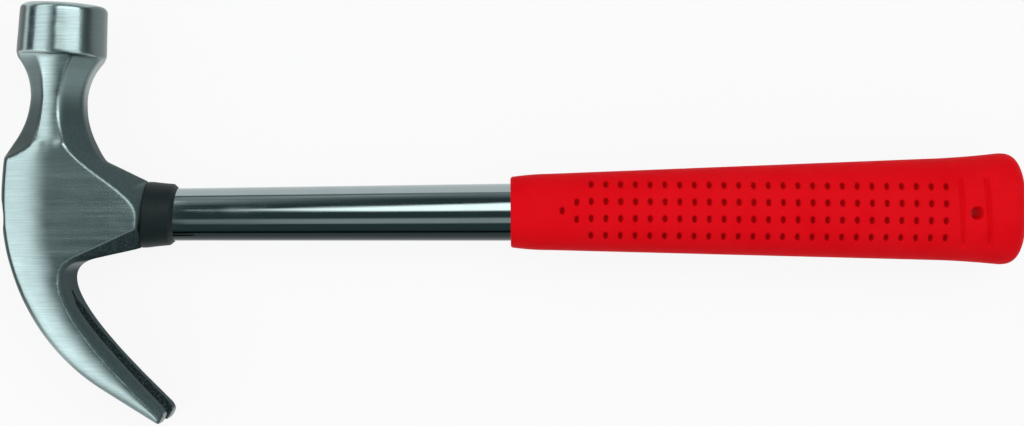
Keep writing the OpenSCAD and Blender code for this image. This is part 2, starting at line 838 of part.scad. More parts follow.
// Moves the hammer so that it lies on its side, centred over the origin
low_y = min(tip_back[1], back_along(tip_s)[1]);
high_y = face_at[1] + max(face_r * sin(face_lean), face_crown * cos(face_lean));
rest_z = max(poll_d, claw_tip_w, butt_t) / 2;
butt_x = flare_end + butt_round * last_round;
module place() {
    translate([(crown_x - butt_x) / 2, -(low_y + high_y) / 2, rest_z])
        children();
}

head();
shaft();
core_plug();
wedge();
collar();
grip();
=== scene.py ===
import math

import bpy
import numpy as np
import openvdb
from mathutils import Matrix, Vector


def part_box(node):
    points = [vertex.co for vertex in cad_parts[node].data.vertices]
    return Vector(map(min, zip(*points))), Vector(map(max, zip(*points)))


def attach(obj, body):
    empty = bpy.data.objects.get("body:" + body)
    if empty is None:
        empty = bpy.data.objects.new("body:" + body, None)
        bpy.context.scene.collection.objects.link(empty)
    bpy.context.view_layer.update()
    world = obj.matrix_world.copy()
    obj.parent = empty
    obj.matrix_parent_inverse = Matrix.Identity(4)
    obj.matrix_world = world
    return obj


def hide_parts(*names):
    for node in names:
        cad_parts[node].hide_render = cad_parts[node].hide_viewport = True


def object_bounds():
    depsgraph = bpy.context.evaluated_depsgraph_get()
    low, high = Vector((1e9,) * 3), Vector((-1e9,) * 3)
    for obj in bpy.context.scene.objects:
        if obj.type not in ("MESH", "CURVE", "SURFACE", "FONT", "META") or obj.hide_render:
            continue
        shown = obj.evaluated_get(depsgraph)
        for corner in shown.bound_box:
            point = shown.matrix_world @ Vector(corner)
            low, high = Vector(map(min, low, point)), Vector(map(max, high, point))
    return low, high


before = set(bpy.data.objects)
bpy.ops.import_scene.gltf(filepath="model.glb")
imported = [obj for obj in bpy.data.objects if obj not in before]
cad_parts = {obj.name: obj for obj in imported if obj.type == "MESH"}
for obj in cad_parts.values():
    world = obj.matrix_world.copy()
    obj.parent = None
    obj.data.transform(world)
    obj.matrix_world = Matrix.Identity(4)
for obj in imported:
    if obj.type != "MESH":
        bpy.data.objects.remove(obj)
cad_low, cad_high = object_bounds()
scene = bpy.context.scene
scene.view_settings.view_transform = "Standard"


# Head: one drop-forged steel piece with a round poll, an octagonal neck, flat cheeks and a curved claw
# that a nail slot splits into two tines. Its flats are ground with a fine grain and lacquered, its bevels
# are left as forged and dark, partly painted shade, and the shaft is driven through its eye.
# Sizes are in mm from the middle of the eye.
crown_x, crown_y, crown_h, crown_top_r = 14.8, 3.0, 18.5, 120.0
eye_low, eye_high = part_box("shaft")
eye_middle = Vector((cad_low.x + crown_x / 1000, (eye_low.y + eye_high.y) / 2, (eye_low.z + eye_high.z) / 2))

face_d, face_h, face_crown, face_chamfer, face_lean = 27.7, 67.9, 0.4, 1.2, math.radians(3.2)
poll_d, poll_len, rim_lip, head_cant = 28.7, 16.4, 0.3, math.radians(3.5)
neck_a, neck_z, waist_h = 17.3 / 2, 17.5 / 2, 37.5
neck_top_r, neck_side_r, neck_low_r, neck_slope, neck_pinch = 20.0, 40.0, 29.5, 0.3, 1.5
cheek_z, crown_fade, crown_drop, crown_edge = 12.5, 15.5, 3.1, 1.0
boss_r, boss_x, boss_lean, shoulder_h = 21.3 / 2, 29.9, math.radians(6), 18.4
octagon, blank_spare, blank_over = math.tan(math.radians(22.5)), 1.5, 5.0
blank_a, rim_h = poll_d / 2 + blank_spare, face_h - poll_len
cant_up = np.array([math.sin(head_cant), math.cos(head_cant)])
cant_side = np.array([math.cos(head_cant), -math.sin(head_cant)])


def mix(a, b, t):
    return a + (b - a) * t


def unit(v):
    return v / np.linalg.norm(v)


def ease(t):
    return t * t * (3 - 2 * t)


def bezier(p, t):
    return p[0] * (1 - t) ** 3 + p[1] * 3 * t * (1 - t) ** 2 + p[2] * 3 * t * t * (1 - t) + p[3] * t**3


def steps(count):
    return [(i + 1) / count for i in range(count)]


def hollow(half, radius, dh):
    return half + radius - math.sqrt(max(0, radius**2 - dh**2))


def low_a(h):
    return hollow(neck_a, neck_low_r, waist_h - h)


def low_z(h):
    return hollow(neck_z, neck_low_r, waist_h - h)


def top_z(h):
    return min(blank_a, hollow(neck_z, neck_side_r, h - waist_h))


def half_ring(l, n, r, zl, edge, fade, drop, zh, zr, fade_points=12, fade_share=0.9):
    """Upper half of a section of the head, from outer rail l past the cheek's edge n to inner rail r."""
    along, room = unit(n - l), np.linalg.norm(n - l)
    f = min(fade, room * fade_share)
    b = min(edge, f * fade_share)
    rows = [(l, zl)]
    for i in range(fade_points + 1):
        d = mix(b, f, i / fade_points)
        rows.append((l + along * d, zh - drop * (1 - d / f) ** 2))
    rows += [(n, zh), (r, zr)]
    return np.array([(p[0], p[1], z) for p, z in rows])


def neck_crown(a):
    """Reach and drop of the rounding on a ground neck flat, which leans it to the crown side."""
    fade = (a * (1 + octagon) - neck_pinch) * 0.9
    return fade, neck_slope * fade**2 / (2 * (fade - a * (1 - octagon)))


def neck_ring(h, a, z):
    c, t = cant_up * h, a * octagon
    fade, drop = neck_crown(a)
    edge = t - neck_pinch * math.sin(math.pi * min(1, (h - cheek_top) / (rim_h - cheek_top)))
    return half_ring(
        c - cant_side * a, c + cant_side * edge, c + cant_side * a,
        zl=z * octagon, edge=a - t, fade=fade, drop=drop, zh=z, zr=z * octagon,
    )


# Neck, down to the top of the cheek
top_turn = math.acos(1 - (blank_a - neck_a) / neck_top_r)
low_turn = math.acos(1 - (cheek_z - neck_z) / neck_low_r)
cheek_top = waist_h - neck_low_r * math.sin(low_turn)
rings = [neck_ring(face_h + blank_over, blank_a, blank_a)]
for t in [0] + steps(44):
    h = waist_h + neck_top_r * math.sin(top_turn * (1 - t))
    rings.append(neck_ring(h, neck_a + neck_top_r * (1 - math.cos(top_turn * (1 - t))), top_z(h)))
for t in steps(36):
    h = waist_h - neck_low_r * math.sin(low_turn * t)
    rings.append(neck_ring(h, low_a(h), low_z(h)))

# Back of the head, from the crown's corner down to the end of the claw
claw_back_r, claw_sweep, claw_straight = 69.0, math.radians(58), 18.0


def back_arc(turn):
    back_x = claw_back_r - crown_x - claw_back_r * math.cos(turn)
    return np.array([back_x, crown_y - claw_back_r * math.sin(turn)])


def back_at(y):
    if y > crown_y:
        return np.array([crown_top_r - crown_x - math.sqrt(crown_top_r**2 - (y - crown_y) ** 2), y])
    return back_arc(math.asin((crown_y - y) / claw_back_r))


def back_along(s):
    turn = min(s / claw_back_r, claw_sweep)
    return back_arc(turn) + np.array([math.sin(turn), -math.cos(turn)]) * (s - turn * claw_back_r)


# Cheek, shoulder and round end of the eye boss
nose_gap, nose_low, nose_share = 0.5, 4.6, 0.2
edge_angle, edge_pull, nose_pull = math.radians(54), 11.5, 8.1
under, under_bevel = np.array([12.0, -14.1]), (1.6, 1.1)
corner_t, boss_top_t, least_z = 0.2, 0.62, 0.3
corner_turn, under_share, under_rise, shoulder_share = -45, 0.22, 0.6, 0.8


def boss_end(y):
    return np.array([boss_x + y * math.tan(boss_lean), y])


edge_start = cant_up * cheek_top + cant_side * (low_a(cheek_top) * octagon)
nose = np.array([boss_x - nose_gap, -nose_low * nose_share])
nose_corner = np.array([nose[0] - nose_gap / 2, -nose_low])
edge_dir = np.array([math.cos(edge_angle), -math.sin(edge_angle)])
edge_curve = [edge_start, edge_start + edge_pull * edge_dir, nose + np.array([0, nose_pull]), nose]
corner, crown_z = back_at(crown_h), cheek_z - crown_drop - crown_edge
neck_bevel, neck_flat = low_a(cheek_top) * (1 - octagon), cheek_z * octagon
shoulder_flat = neck_flat * shoulder_share
shoulder = cant_up * shoulder_h + cant_side * low_a(shoulder_h)
boss_low, boss_top = boss_end(-boss_r), boss_end(boss_r)
under_edge = under + np.array([-under_bevel[0], under_bevel[1]])
cheek = dict(zl=crown_z, edge=crown_edge, fade=crown_fade, drop=crown_drop, zh=cheek_z)


def nose_edge(turn):
    if turn > 0:
        return bezier(edge_curve, mix(1, boss_top_t, turn / 90))
    if turn > corner_turn:
        return mix(nose, nose_corner, turn / corner_turn)
    return mix(nose_corner, under_edge, under_share * (corner_turn - turn) / (90 + corner_turn))


neck_fade, neck_drop = neck_crown(low_a(cheek_top))
for q in steps(12):
    h, hr = mix(cheek_top, crown_h, q), mix(cheek_top, shoulder_h, q)
    rings.append(half_ring(
        mix(cant_up * h - cant_side * low_a(h), corner, q), bezier(edge_curve, corner_t * q),
        cant_up * hr + cant_side * low_a(hr), zl=mix(neck_flat, crown_z, q),
        edge=mix(neck_bevel, crown_edge, ease(q)), fade=mix(neck_fade, crown_fade, q),
        drop=mix(neck_drop, crown_drop, q), zh=cheek_z, zr=mix(neck_flat, shoulder_flat, q),
    ))
for q in steps(20):
    n = bezier(edge_curve, mix(corner_t, boss_top_t, q))
    l = back_at(mix(crown_h, bezier(edge_curve, boss_top_t)[1], q))
    rings.append(half_ring(l, n, mix(shoulder, boss_top, q), zr=mix(shoulder_flat, least_z, q), **cheek))
for q in steps(60):
    turn = 90 - 180 * q
    n = nose_edge(turn)
    zr = max(least_z, boss_r * math.cos(math.radians(turn)))
    rings.append(half_ring(back_at(n[1]), n, boss_end(boss_r * math.sin(math.radians(turn))), zr=zr, **cheek))

# Underside, throat and claw, ending in the ground tips
throat, tip = np.array([5.3, -20.5]), np.array([36.6, -61.6])
claw_angle, throat_pull, claw_pull, throat_round = math.radians(46.3), 9.0, 20.0, 0.62
claw_bevel, bevel_fall, throat_bevel, tip_z = 2.2, 1.7, 0.6, 28.7 / 2
tip_drop, tip_len, tip_t, tip_turn, tip_edge, tine_fade = 1.5, 3.2, 3.7, math.radians(18), 0.6, 0.75
under_z = cheek_z - sum(under_bevel)
throat_curve = [
    under,
    under + unit(under - boss_low) * (under[0] - throat[0]) / 2,
    throat + np.array([0, (under[1] - throat[1]) * throat_round]),
    throat,
]
claw_dir = np.array([math.cos(claw_angle), -math.sin(claw_angle)])
claw_curve = [throat, throat - np.array([0, throat_pull]), tip - claw_pull * claw_dir, tip]
throat_s = math.asin((crown_y - throat[1]) / claw_back_r) * claw_back_r
tip_s = claw_back_r * claw_sweep + claw_straight
for q in steps(16):
    n = mix(mix(nose_corner, under_edge, under_share), under_edge, q)
    zr = mix(least_z, under_z, q**under_rise)
    rings.append(half_ring(back_at(n[1]), n, mix(boss_low, under, q), zr=zr, **cheek))
for q in steps(24):
    r = bezier(throat_curve, q)
    n = r + mix(under_edge - under, np.array([-throat_bevel, 0]), q)
    l = back_at(mix(under_edge[1], throat[1], q))
    rings.append(half_ring(l, n, r, zr=mix(under_z, cheek_z - throat_bevel, q), **cheek))
for t in steps(64):
    l, r = back_along(mix(throat_s, tip_s, t)), bezier(claw_curve, t)
    z, drop = mix(cheek_z, tip_z, math.sin(math.pi / 2 * t)), mix(crown_drop, tip_drop, t)
    bevel, edge = mix(throat_bevel, claw_bevel, math.sin(math.pi / 2 * t)), mix(crown_edge, tip_edge, t)
    fade = mix(crown_fade, np.linalg.norm(r - l) * tine_fade, math.sqrt(t))
    inner_z = z - bevel * mix(0.5, bevel_fall, math.sin(math.pi * t))
    rings.append(half_ring(l, r + unit(l - r) * bevel, r, z - drop - edge, edge, fade, drop, z, inner_z))
tip_back = back_along(tip_s + tip_len)
tip_dir = unit(tip - back_along(tip_s))
tip_dir = np.array([
    tip_dir[0] * math.cos(tip_turn) - tip_dir[1] * math.sin(tip_turn),
    tip_dir[0] * math.sin(tip_turn) + tip_dir[1] * math.cos(tip_turn),
])
tip_front = tip_back + tip_dir * tip_t
rings.append(half_ring(
    tip_back, tip_front - tip_dir * claw_bevel, tip_front, tip_z - tip_drop - tip_edge, tip_edge,
    tip_t * tine_fade, tip_drop, tip_z, tip_z - claw_bevel / 2,
))

# The sections are joined into a closed forging blank, which is measured as a distance field
loops = [np.vstack([r, r[::-1] * (1, 1, -1)]) for r in rings]
count, last = len(loops[0]), (len(loops) - 1) * len(loops[0])
blank_faces = []
for j in range(len(loops) - 1):
    for i in range(count):
        a, b = j * count + i, j * count + (i + 1) % count
        blank_faces += [(a, b, b + count), (a, b + count, a + count)]
for i in range(count // 2 - 1):
    for a, b, c in [(i, count - 1 - i, count - 2 - i), (i, count - 2 - i, i + 1)]:
        blank_faces += [(a, b, c), (last + a, last + c, last + b)]
voxel, field_reach = 0.47, 9
field_low, field_room = np.array([-18.0, -70.0, -18.0]), np.array([61.0, 146.0, 36.0])
field_size = tuple(int(n) for n in np.ceil(field_room / voxel))
blank = openvdb.FloatGrid.createLevelSetFromPolygons(
    np.vstack(loops).astype(np.float32), triangles=np.array(blank_faces, dtype=np.uint32),
    transform=openvdb.createLinearTransform(voxelSize=voxel), halfWidth=float(field_reach),
)
field = np.zeros(field_size, dtype=np.float32)
start = np.round(field_low / voxel).astype(int)
blank.copyToArray(field, ijk=tuple(int(v) for v in start))
ticks = [(start[k] + np.arange(field_size[k])) * voxel for k in range(3)]
x, y, z = np.meshgrid(*ticks, indexing="ij", sparse=True)

# The neck runs into the poll, which is turned round with a crisp lower rim and a domed, chamfered face
height, side = x * cant_up[0] + y * cant_up[1], x * cant_side[0] + y * cant_side[1]
core = np.maximum(np.hypot(side, z) - poll_d / 2 + rim_lip, np.maximum(height - rim_h - 1, waist_h - height))
field = np.maximum(field, np.minimum(core, y - waist_h - 1))
poll_r = poll_d / 2 - (poll_d - face_d) / 2 * (height - rim_h) / poll_len
face_x, face_y = cant_up * face_h
rise = (x - face_x) * math.sin(face_lean) + (y - face_y) * math.cos(face_lean)
rim_r = face_d / 2 - face_chamfer
off_face = np.hypot((x - face_x) * math.cos(face_lean) - (y - face_y) * math.sin(face_lean), z)
dome = rise - face_crown * (1 - (off_face / rim_r) ** 2)
cap = np.maximum(dome, (off_face + rise - rim_r) / math.sqrt(2))
field = np.minimum(field, np.maximum(np.maximum(np.hypot(side, z) - poll_r, cap), rim_h - height))

# The eye is bored and chamfered at the crown, and the nail slot is cut as a V with a round root
eye_gap, eye_chamfer = 0.05, 0.8
eye_r = 17 / 2 + eye_gap
from_shaft = np.hypot(y, z)
field = np.maximum(field, eye_r - from_shaft)
field = np.maximum(field, (eye_r - crown_x + eye_chamfer - x - from_shaft) / math.sqrt(2))
slot_w, slot_root_w, slot_lead = 7.6, 1.4, 2.0
slot_bevel, slot_bevel_w, slot_bevel_start = 2.8, 3.6, 1.0
slot_root, slot_slant = np.array([throat[0], -26.5]), math.radians(60)
opens = (x - slot_root[0]) * math.sin(slot_slant) - (y - slot_root[1]) * math.cos(slot_slant)
through = -(x - slot_root[0]) * math.cos(slot_slant) - (y - slot_root[1]) * math.sin(slot_slant)
spread = (slot_w - slot_root_w) / 2 / np.linalg.norm(tip - slot_root)
wall = (np.abs(z) - slot_root_w / 2 - spread * opens) / math.hypot(1, spread)
slot = np.where(opens > 0, wall, np.hypot(np.minimum(opens, 0), z) - slot_root_w / 2)
inner_edge = np.array([bezier(claw_curve, t) for t in [0] + steps(80)])
from_inside = np.min([np.hypot(x - px, y - py) for px, py in inner_edge], axis=0)
bevel_room = np.clip((opens - slot_bevel_start) / slot_bevel, 0, 1) * slot_bevel
slot = np.minimum(slot, wall - np.maximum(0, bevel_room - from_inside) * slot_bevel_w / slot_bevel)
field = np.maximum(field, -np.maximum(slot, -slot_lead - through))


def softened(values, radius):
    """The distance field blurred over a radius in mm, which rounds its edges and leaves flats as they are."""
    sigma = radius / voxel
    reach = int(math.ceil(3 * sigma))
    weights = np.exp(-0.5 * (np.arange(-reach, reach + 1) / sigma) ** 2)
    weights /= weights.sum()
    for axis in range(3):
        padded = np.pad(values, [(reach, reach) if k == axis else (0, 0) for k in range(3)], mode="edge")
        out = np.zeros_like(values)
        for i, w in enumerate(weights):
            out += w * np.take(padded, np.arange(i, i + values.shape[axis]), axis=axis)
        values = out
    return values


# Ground edges are crisp on poll and cheek, rounder along the neck, and fade out where neck meets cheek
edge_soft, neck_soft, foot_soft, foot_reach, foot_half = 0.4, 0.6, 1.5, 5.5, 3.9
neck_share = np.clip((y - 24) / 6, 0, 1) * np.clip((50 - y) / 4, 0, 1)
foot_along = ease(np.clip((foot_reach - np.abs(height - cheek_top)) / 4, 0, 1))
foot_share = foot_along * ease(np.clip((foot_half - np.abs(side)) / 3, 0, 1))
crisp = field
field = mix(softened(crisp, edge_soft), softened(crisp, neck_soft), neck_share)
field = mix(field, softened(crisp, foot_soft), foot_share)

# Grinding by hand leaves faint waves, and takes the cheeks down a little away from their middle
wave_depth, cheek_fall, cheek_middle = 0.012, 0.0003, 8
hand_ground = np.sin(x * 0.61 + y * 0.23) * np.sin(y * 0.47 - z * 0.31) + np.sin(y * 0.9 + x * 0.35 + 1.3) / 2
on_cheek = ease(np.clip((np.abs(z) - 7) / 4, 0, 1)) * np.clip((22 - y) / 6, 0, 1)
fall = cheek_fall * np.clip(x - cheek_middle, -14, 24) ** 2 * on_cheek
field = (field + wave_depth * hand_ground + fall * np.clip((y + 24) / 6, 0, 1)).astype(np.float32)
forging = openvdb.FloatGrid(field_reach * voxel)
forging.copyFromArray(field)
head_points, head_faces = forging.convertToQuads(isovalue=0.0)
head_points = (np.array(head_points) + start) * voxel
head_faces = np.array(head_faces)
corners = head_points[head_faces]
outward = np.cross(corners[:, 2] - corners[:, 0], corners[:, 3] - corners[:, 1])
if (corners[:, 0] * outward).sum() < 0:
    head_faces = head_faces[:, ::-1]


def piece(name, points, faces, crease=None):
    """A mesh object from points in mm measured from the middle of the eye."""
    mesh = bpy.data.meshes.new(name)
    mesh.from_pydata((np.asarray(points) / 1000 + np.array(eye_middle)).tolist(), [], faces)
    mesh.validate()
    mesh.shade_smooth()
    if crease:
        mesh.set_sharp_from_angle(angle=math.radians(crease))
    made = bpy.data.objects.new(name, mesh)
    scene.collection.objects.link(made)
    return made


def read(items, key, width=3, kind=np.float32):
    """Values of all vertices, faces or corners of a mesh, in one row for each."""
    values = np.zeros(len(items) * width, dtype=kind)
    items.foreach_get(key, values)
    return values.reshape(-1, width)


def mm_places(thing):
    """Places of a piece's vertices, in mm from the middle of the eye."""
    return (read(thing.data.vertices, "co") - np.array(eye_middle)) * 1000


def ramp(values, start, end):
    return ease(np.clip((values - start) / (end - start), 0, 1))


def keep(thing, **shares):
    """Stores shares by vertex, which the finish of a piece reads by their names."""
    for key, share in shares.items():
        layer = thing.data.attributes.new(key, "FLOAT", "POINT")
        layer.data.foreach_set("value", share.astype(np.float32))


head = piece("forged_head", head_points, head_faces.tolist())

# A map whose first axis runs across the grinding lines, for the stretched highlights of ground steel
end_facing, map_scale = 0.93, 10
corner_counts = [face.loop_total for face in head.data.polygons]
loop_normals = np.repeat(np.abs(read(head.data.polygons, "normal")), corner_counts, axis=0)
loop_verts = read(head.data.loops, "vertex_index", 1, np.int32).ravel()
places = read(head.data.vertices, "co")[loop_verts] * map_scale
on_end, on_side = loop_normals[:, 1] > end_facing, loop_normals[:, 0] > loop_normals[:, 2]
across = np.where(on_end, places[:, 2], places[:, 1])
level = np.where(on_side & ~on_end, places[:, 2], places[:, 0])
grain_map = head.data.uv_layers.new(name="across_grain")
grain_map.data.foreach_set("uv", np.stack([across, level], axis=1).astype(np.float32).ravel())

# The poll, cheeks and outside of the claw are ground, and the bevels are left as forged and dark. That dark
# is partly the forged finish and partly painted shade, set by which way a surface faces. Surfaces that turn
# away from the cheek's flat by more than a limit count as bevels, and on neck and poll the sides do.
spots, facing = mm_places(head), read(head.data.vertices, "normal")
up_h, to_side = spots[:, :2] @ cant_up, facing[:, :2] @ cant_side
neck_start, foot_start, foot_half_w = (25, 27), (18, 20.5), (6.2, 5.4)
from_middle = np.abs(spots[:, :2] @ cant_side)
on_neck = np.maximum(ramp(up_h, *neck_start), ramp(up_h, *foot_start) * ramp(from_middle, *foot_half_w))
on_claw = ramp(spots[:, 1], -13, -19) * ramp(facing[:, 0], -0.1, 0.1)
# Painted shade: edges turned towards the grip or lying inside the claw darken after only a slight turn, over
# their highlights
crown_limit, grip_limit, claw_limit = (0.95, 0.86), (0.995, 0.975), (0.998, 0.985)
flatness = np.abs(facing[:, 2])
to_grip = ramp(facing[:, 0] + facing[:, 1], -0.05, 0.05)
steep = mix(ramp(flatness, *crown_limit), ramp(flatness, *grip_limit), to_grip)
steep = mix(steep, ramp(flatness, *claw_limit), on_claw)
# Painted shade: the neck's sides are darker near the cheek than near the poll
neck_left, neck_right, neck_fades, neck_shares = (0.42, 0.56), (0.14, 0.3), (30, 46), (0.95, 0.6)
neck_side = np.maximum(ramp(-to_side, *neck_left), ramp(to_side, *neck_right))
bevelled = mix(steep, neck_side * mix(*neck_shares, ramp(up_h, *neck_fades)), on_neck)
# Painted shade: the poll's sides darken, the crown side more than the grip side
poll_left, poll_right, poll_right_share, rim_blend = (0.66, 0.76), (0.54, 0.64), 0.8, 0.3
poll_side = np.maximum(ramp(-to_side, *poll_left), ramp(to_side, *poll_right) * poll_right_share)
bevelled = mix(bevelled, poll_side, ramp(up_h, rim_h - rim_blend, rim_h + rim_blend))
back_ground, back_fades = 0.7, (-22, -45)
bevelled *= 1 - back_ground * ramp(spots[:, 1], *back_fades) * ramp(facing[:, 0], -0.1, -0.3)

# Black scale stays in the eye, the nail slot and the bevels inside the claw, but not on the ground ends of
# the tips.
# Under the boss and on the shoulder's side the same black is partly scale and partly painted shade, fading
# towards the poll
shoulder_scale, claw_scale, boss_soot = 0.75, 0.9, 0.7
inside = ramp(facing[:, 2] * np.sign(spots[:, 2]), -0.1, -0.4)
under_boss = ramp(facing[:, 1], -0.25, -0.45) * ramp(spots[:, 1], 0, -4)
under_boss *= ramp(spots[:, 0], throat[0], under[0])
tip_end = ramp(facing[:, :2] @ claw_dir, 0.35, 0.6) * ramp(spots[:, 1], -56, -60)
shoulder_side = ramp(to_side, 0.2, 0.4) * mix(shoulder_scale, 0, ramp(up_h, 26, 44)) * ramp(up_h, -4, 2)
scaled = np.maximum(np.maximum(under_boss, shoulder_side), on_claw * claw_scale) * bevelled
scaled = np.maximum(inside, scaled) * (1 - tip_end)
sooty = np.maximum(inside, boss_soot * under_boss * bevelled)
keep(head, forged=np.maximum(bevelled, inside), scaled=scaled, slotted=sooty)


def add(tree, kind, values=None, **settings):
    """A node of a tree, with its settings, and with values or links for its inputs."""
    made = tree.nodes.new(kind)
    for key, value in settings.items():
        setattr(made, key, value)
    for key, value in (values or {}).items():
        if isinstance(value, bpy.types.NodeSocket):
            tree.links.new(value, made.inputs[key])
        else:
            made.inputs[key].default_value = value
    return made


def wire(tree, node, **links):
    """Links to the inputs of a node, by their names."""
    for key, value in links.items():
        tree.links.new(value, node.inputs[key.replace("_", " ")])


def calc(tree, operation, *terms):
    return add(tree, "ShaderNodeMath", dict(enumerate(terms)), operation=operation).outputs[0]


def vector_calc(tree, operation, first, second):
    return add(tree, "ShaderNodeVectorMath", {0: first, 1: second}, operation=operation).outputs


def spread_to(tree, value, low, high, start=0.3, end=0.7, **settings):
    """A value brought from the range between start and end to the one between low and high."""
    ranges = {"Value": value, "From Min": start, "From Max": end, "To Min": low, "To Max": high}
    return add(tree, "ShaderNodeMapRange", ranges, **settings).outputs[0]


def place_on(tree):
    return add(tree, "ShaderNodeTexCoord").outputs["Object"]


def noise(tree, place, scale, detail, roughness=0.5):
    values = {"Vector": place, "Scale": scale, "Detail": detail, "Roughness": roughness}
    return add(tree, "ShaderNodeTexNoise", values).outputs[0]


def shader_group(name, inputs, outputs):
    tree = bpy.data.node_groups.new(name, "ShaderNodeTree")
    for key, value in inputs.items():
        tree.interface.new_socket(key, in_out="INPUT", socket_type="NodeSocketFloat").default_value = value
    for key in outputs:
        tree.interface.new_socket(key, in_out="OUTPUT", socket_type="NodeSocketFloat")
    return tree, add(tree, "NodeGroupInput").outputs, add(tree, "NodeGroupOutput")


# Grinding lines: long thin streaks that lie level across the poll
grain_group, given, result = shader_group(
    "ground_grain", {"Line mm": 0.25, "Length mm": 9.0}, ["Line", "Band"],
)
in_mm = vector_calc(grain_group, "MULTIPLY", place_on(grain_group), (1000, 1000, 1000))[0]
per_line, per_length = (calc(grain_group, "DIVIDE", 1.0, given[key]) for key in ("Line mm", "Length mm"))
stretch = add(grain_group, "ShaderNodeCombineXYZ", {"X": per_length, "Y": per_line, "Z": per_length})
drawn = vector_calc(grain_group, "MULTIPLY", in_mm, stretch.outputs[0])[0]
lines, bands = noise(grain_group, drawn, 1.0, 1.5, 0.6), noise(grain_group, drawn, 0.21, 2.0)
wire(grain_group, result, Line=lines, Band=bands)

# Handling marks: soft patches with a broken edge, where fingers and the tool bag have left their film
marks_group, given, result = shader_group("handling_marks", {"Patch mm": 12.0, "Cover": 0.5}, ["Mask"])
per_patch = calc(marks_group, "DIVIDE", 1000.0, given["Patch mm"])
patches = noise(marks_group, place_on(marks_group), per_patch, 5.0, 0.6)
least = calc(marks_group, "SUBTRACT", 0.78, given["Cover"])
most = calc(marks_group, "ADD", least, 0.25)
wire(marks_group, result, Mask=spread_to(marks_group, patches, 0, 1, least, most))

# Edge wear: edges that rub against other tools turn brighter
wear_group, given, result = shader_group("edge_wear", {"From": 0.52, "To": 0.6}, ["Mask"])
bent = add(wear_group, "ShaderNodeNewGeometry").outputs["Pointiness"]
wire(wear_group, result, Mask=spread_to(wear_group, bent, 0, 1, given["From"], given["To"]))


def finish(name, metallic, **plain):
    """A material with its shader, and with what is the same all over set on the shader's own sockets."""
    made = bpy.data.materials.new(name)
    made.use_nodes = True
    shader = made.node_tree.nodes["Principled BSDF"]
    shader.inputs["Metallic"].default_value = metallic
    for key, value in plain.items():
        shader.inputs[key.replace("_", " ")].default_value = value
    return made, made.node_tree, shader


def group(tree, node_group, **values):
    made = add(tree, "ShaderNodeGroup", node_tree=node_group)
    for key, value in values.items():
        made.inputs[key.replace("_", " ")].default_value = value
    return made.outputs


def tinted(tree, mask, low, high):
    """A colour between two tints, by a mask."""
    colours = {"Factor": mask, 6: low, 7: high}
    return add(tree, "ShaderNodeMix", colours, data_type="RGBA", clamp_factor=True).outputs[2]


def stored(tree, key):
    return add(tree, "ShaderNodeAttribute", attribute_name=key).outputs["Fac"]


def bumped(tree, height, strength, depth):
    """The lie of a surface that follows a height, with a depth in metres."""
    return add(tree, "ShaderNodeBump", {"Height": height, "Strength": strength, "Distance": depth}).outputs[0]


head_steel, tree, shader = finish("head_steel", 1.0, Anisotropic=0.65, Specular_IOR_Level=0.0)
grain = group(tree, grain_group, Line_mm=0.4, Length_mm=14.0)
marks = group(tree, marks_group, Patch_mm=9.0, Cover=0.3)
worn = group(tree, wear_group, From=0.53, To=0.62)
forged_share, scaled_share, slotted_share = (stored(tree, key) for key in ("forged", "scaled", "slotted"))
streaked = spread_to(tree, grain["Line"], 0, 1, 0.35, 0.65)
streaks = tinted(tree, streaked, (0.36, 0.455, 0.46, 1), (0.42, 0.52, 0.52, 1))
stained = tinted(tree, spread_to(tree, marks["Mask"], 0, 0.35, 0, 1), streaks, (0.31, 0.39, 0.39, 1))
bright = tinted(tree, spread_to(tree, worn["Mask"], 0, 0.15, 0, 1), stained, (0.5, 0.6, 0.59, 1))
# The forged share darkens the bevels and the poll's sides: partly the as-forged finish, partly painted shade
dull = tinted(tree, forged_share, bright, (0.072, 0.102, 0.1, 1))
flakes = noise(tree, place_on(tree), 1300.0, 4.0, 0.7)
thin, thick = spread_to(tree, flakes, 0, 1, 0.4, 0.6), spread_to(tree, flakes, 0, 1, 0.48, 0.62)
oxide = tinted(tree, thin, (0.055, 0.082, 0.088, 1), (0.075, 0.106, 0.112, 1))
soot = tinted(tree, thick, (0.013, 0.022, 0.023, 1), (0.05, 0.072, 0.075, 1))
# Scale and soot blacken the steel and take away its metal: real in the eye, slot and claw, painted shade
# under the boss and on the shoulder's side
coat = tinted(tree, scaled_share, dull, tinted(tree, slotted_share, oxide, soot))
bare_metal = spread_to(tree, scaled_share, 1, 0, 0, 1)
ground_gloss = spread_to(tree, grain["Band"], 0.21, 0.28)
gloss = add(tree, "ShaderNodeMix", {"Factor": forged_share, 2: ground_gloss, 3: 0.42}, data_type="FLOAT")
tangent = add(tree, "ShaderNodeTangent", direction_type="UV_MAP", uv_map="across_grain")
wire(tree, shader, Base_Color=coat, Metallic=bare_metal, Roughness=gloss.outputs[0])
wire(tree, shader, Normal=bumped(tree, grain["Line"], 0.2, 0.00006), Tangent=tangent.outputs[0])
head.data.materials.append(head_steel)
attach(head, "root")
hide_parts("head")


# Shaft: a drawn steel tube, tapered towards the head and chromed after polishing lengthwise.
# It is pressed through the eye, and its far end stops inside the grip.
shaft_neck_r, shaft_r, shaft_wall, rim_round, rim_bow = 17 / 2, 18.5 / 2, 1.6, 0.25, 0.3
shaft_head_end, taper_start, taper_end, shaft_end = -crown_x + 0.9, 45.0, 145.0, 284.0
shaft_sides, shaft_crease = 192, 35


def skin(rows, sides, closed=False):
    """Faces between rows of points round a piece, and from the last row back to the first where it closes."""
    faces = []
    for j in range(rows if closed else rows - 1):
        k = (j + 1) % rows
        for i in range(sides):
            i2 = (i + 1) % sides
            faces.append((j * sides + i, j * sides + i2, k * sides + i2, k * sides + i))
    return faces


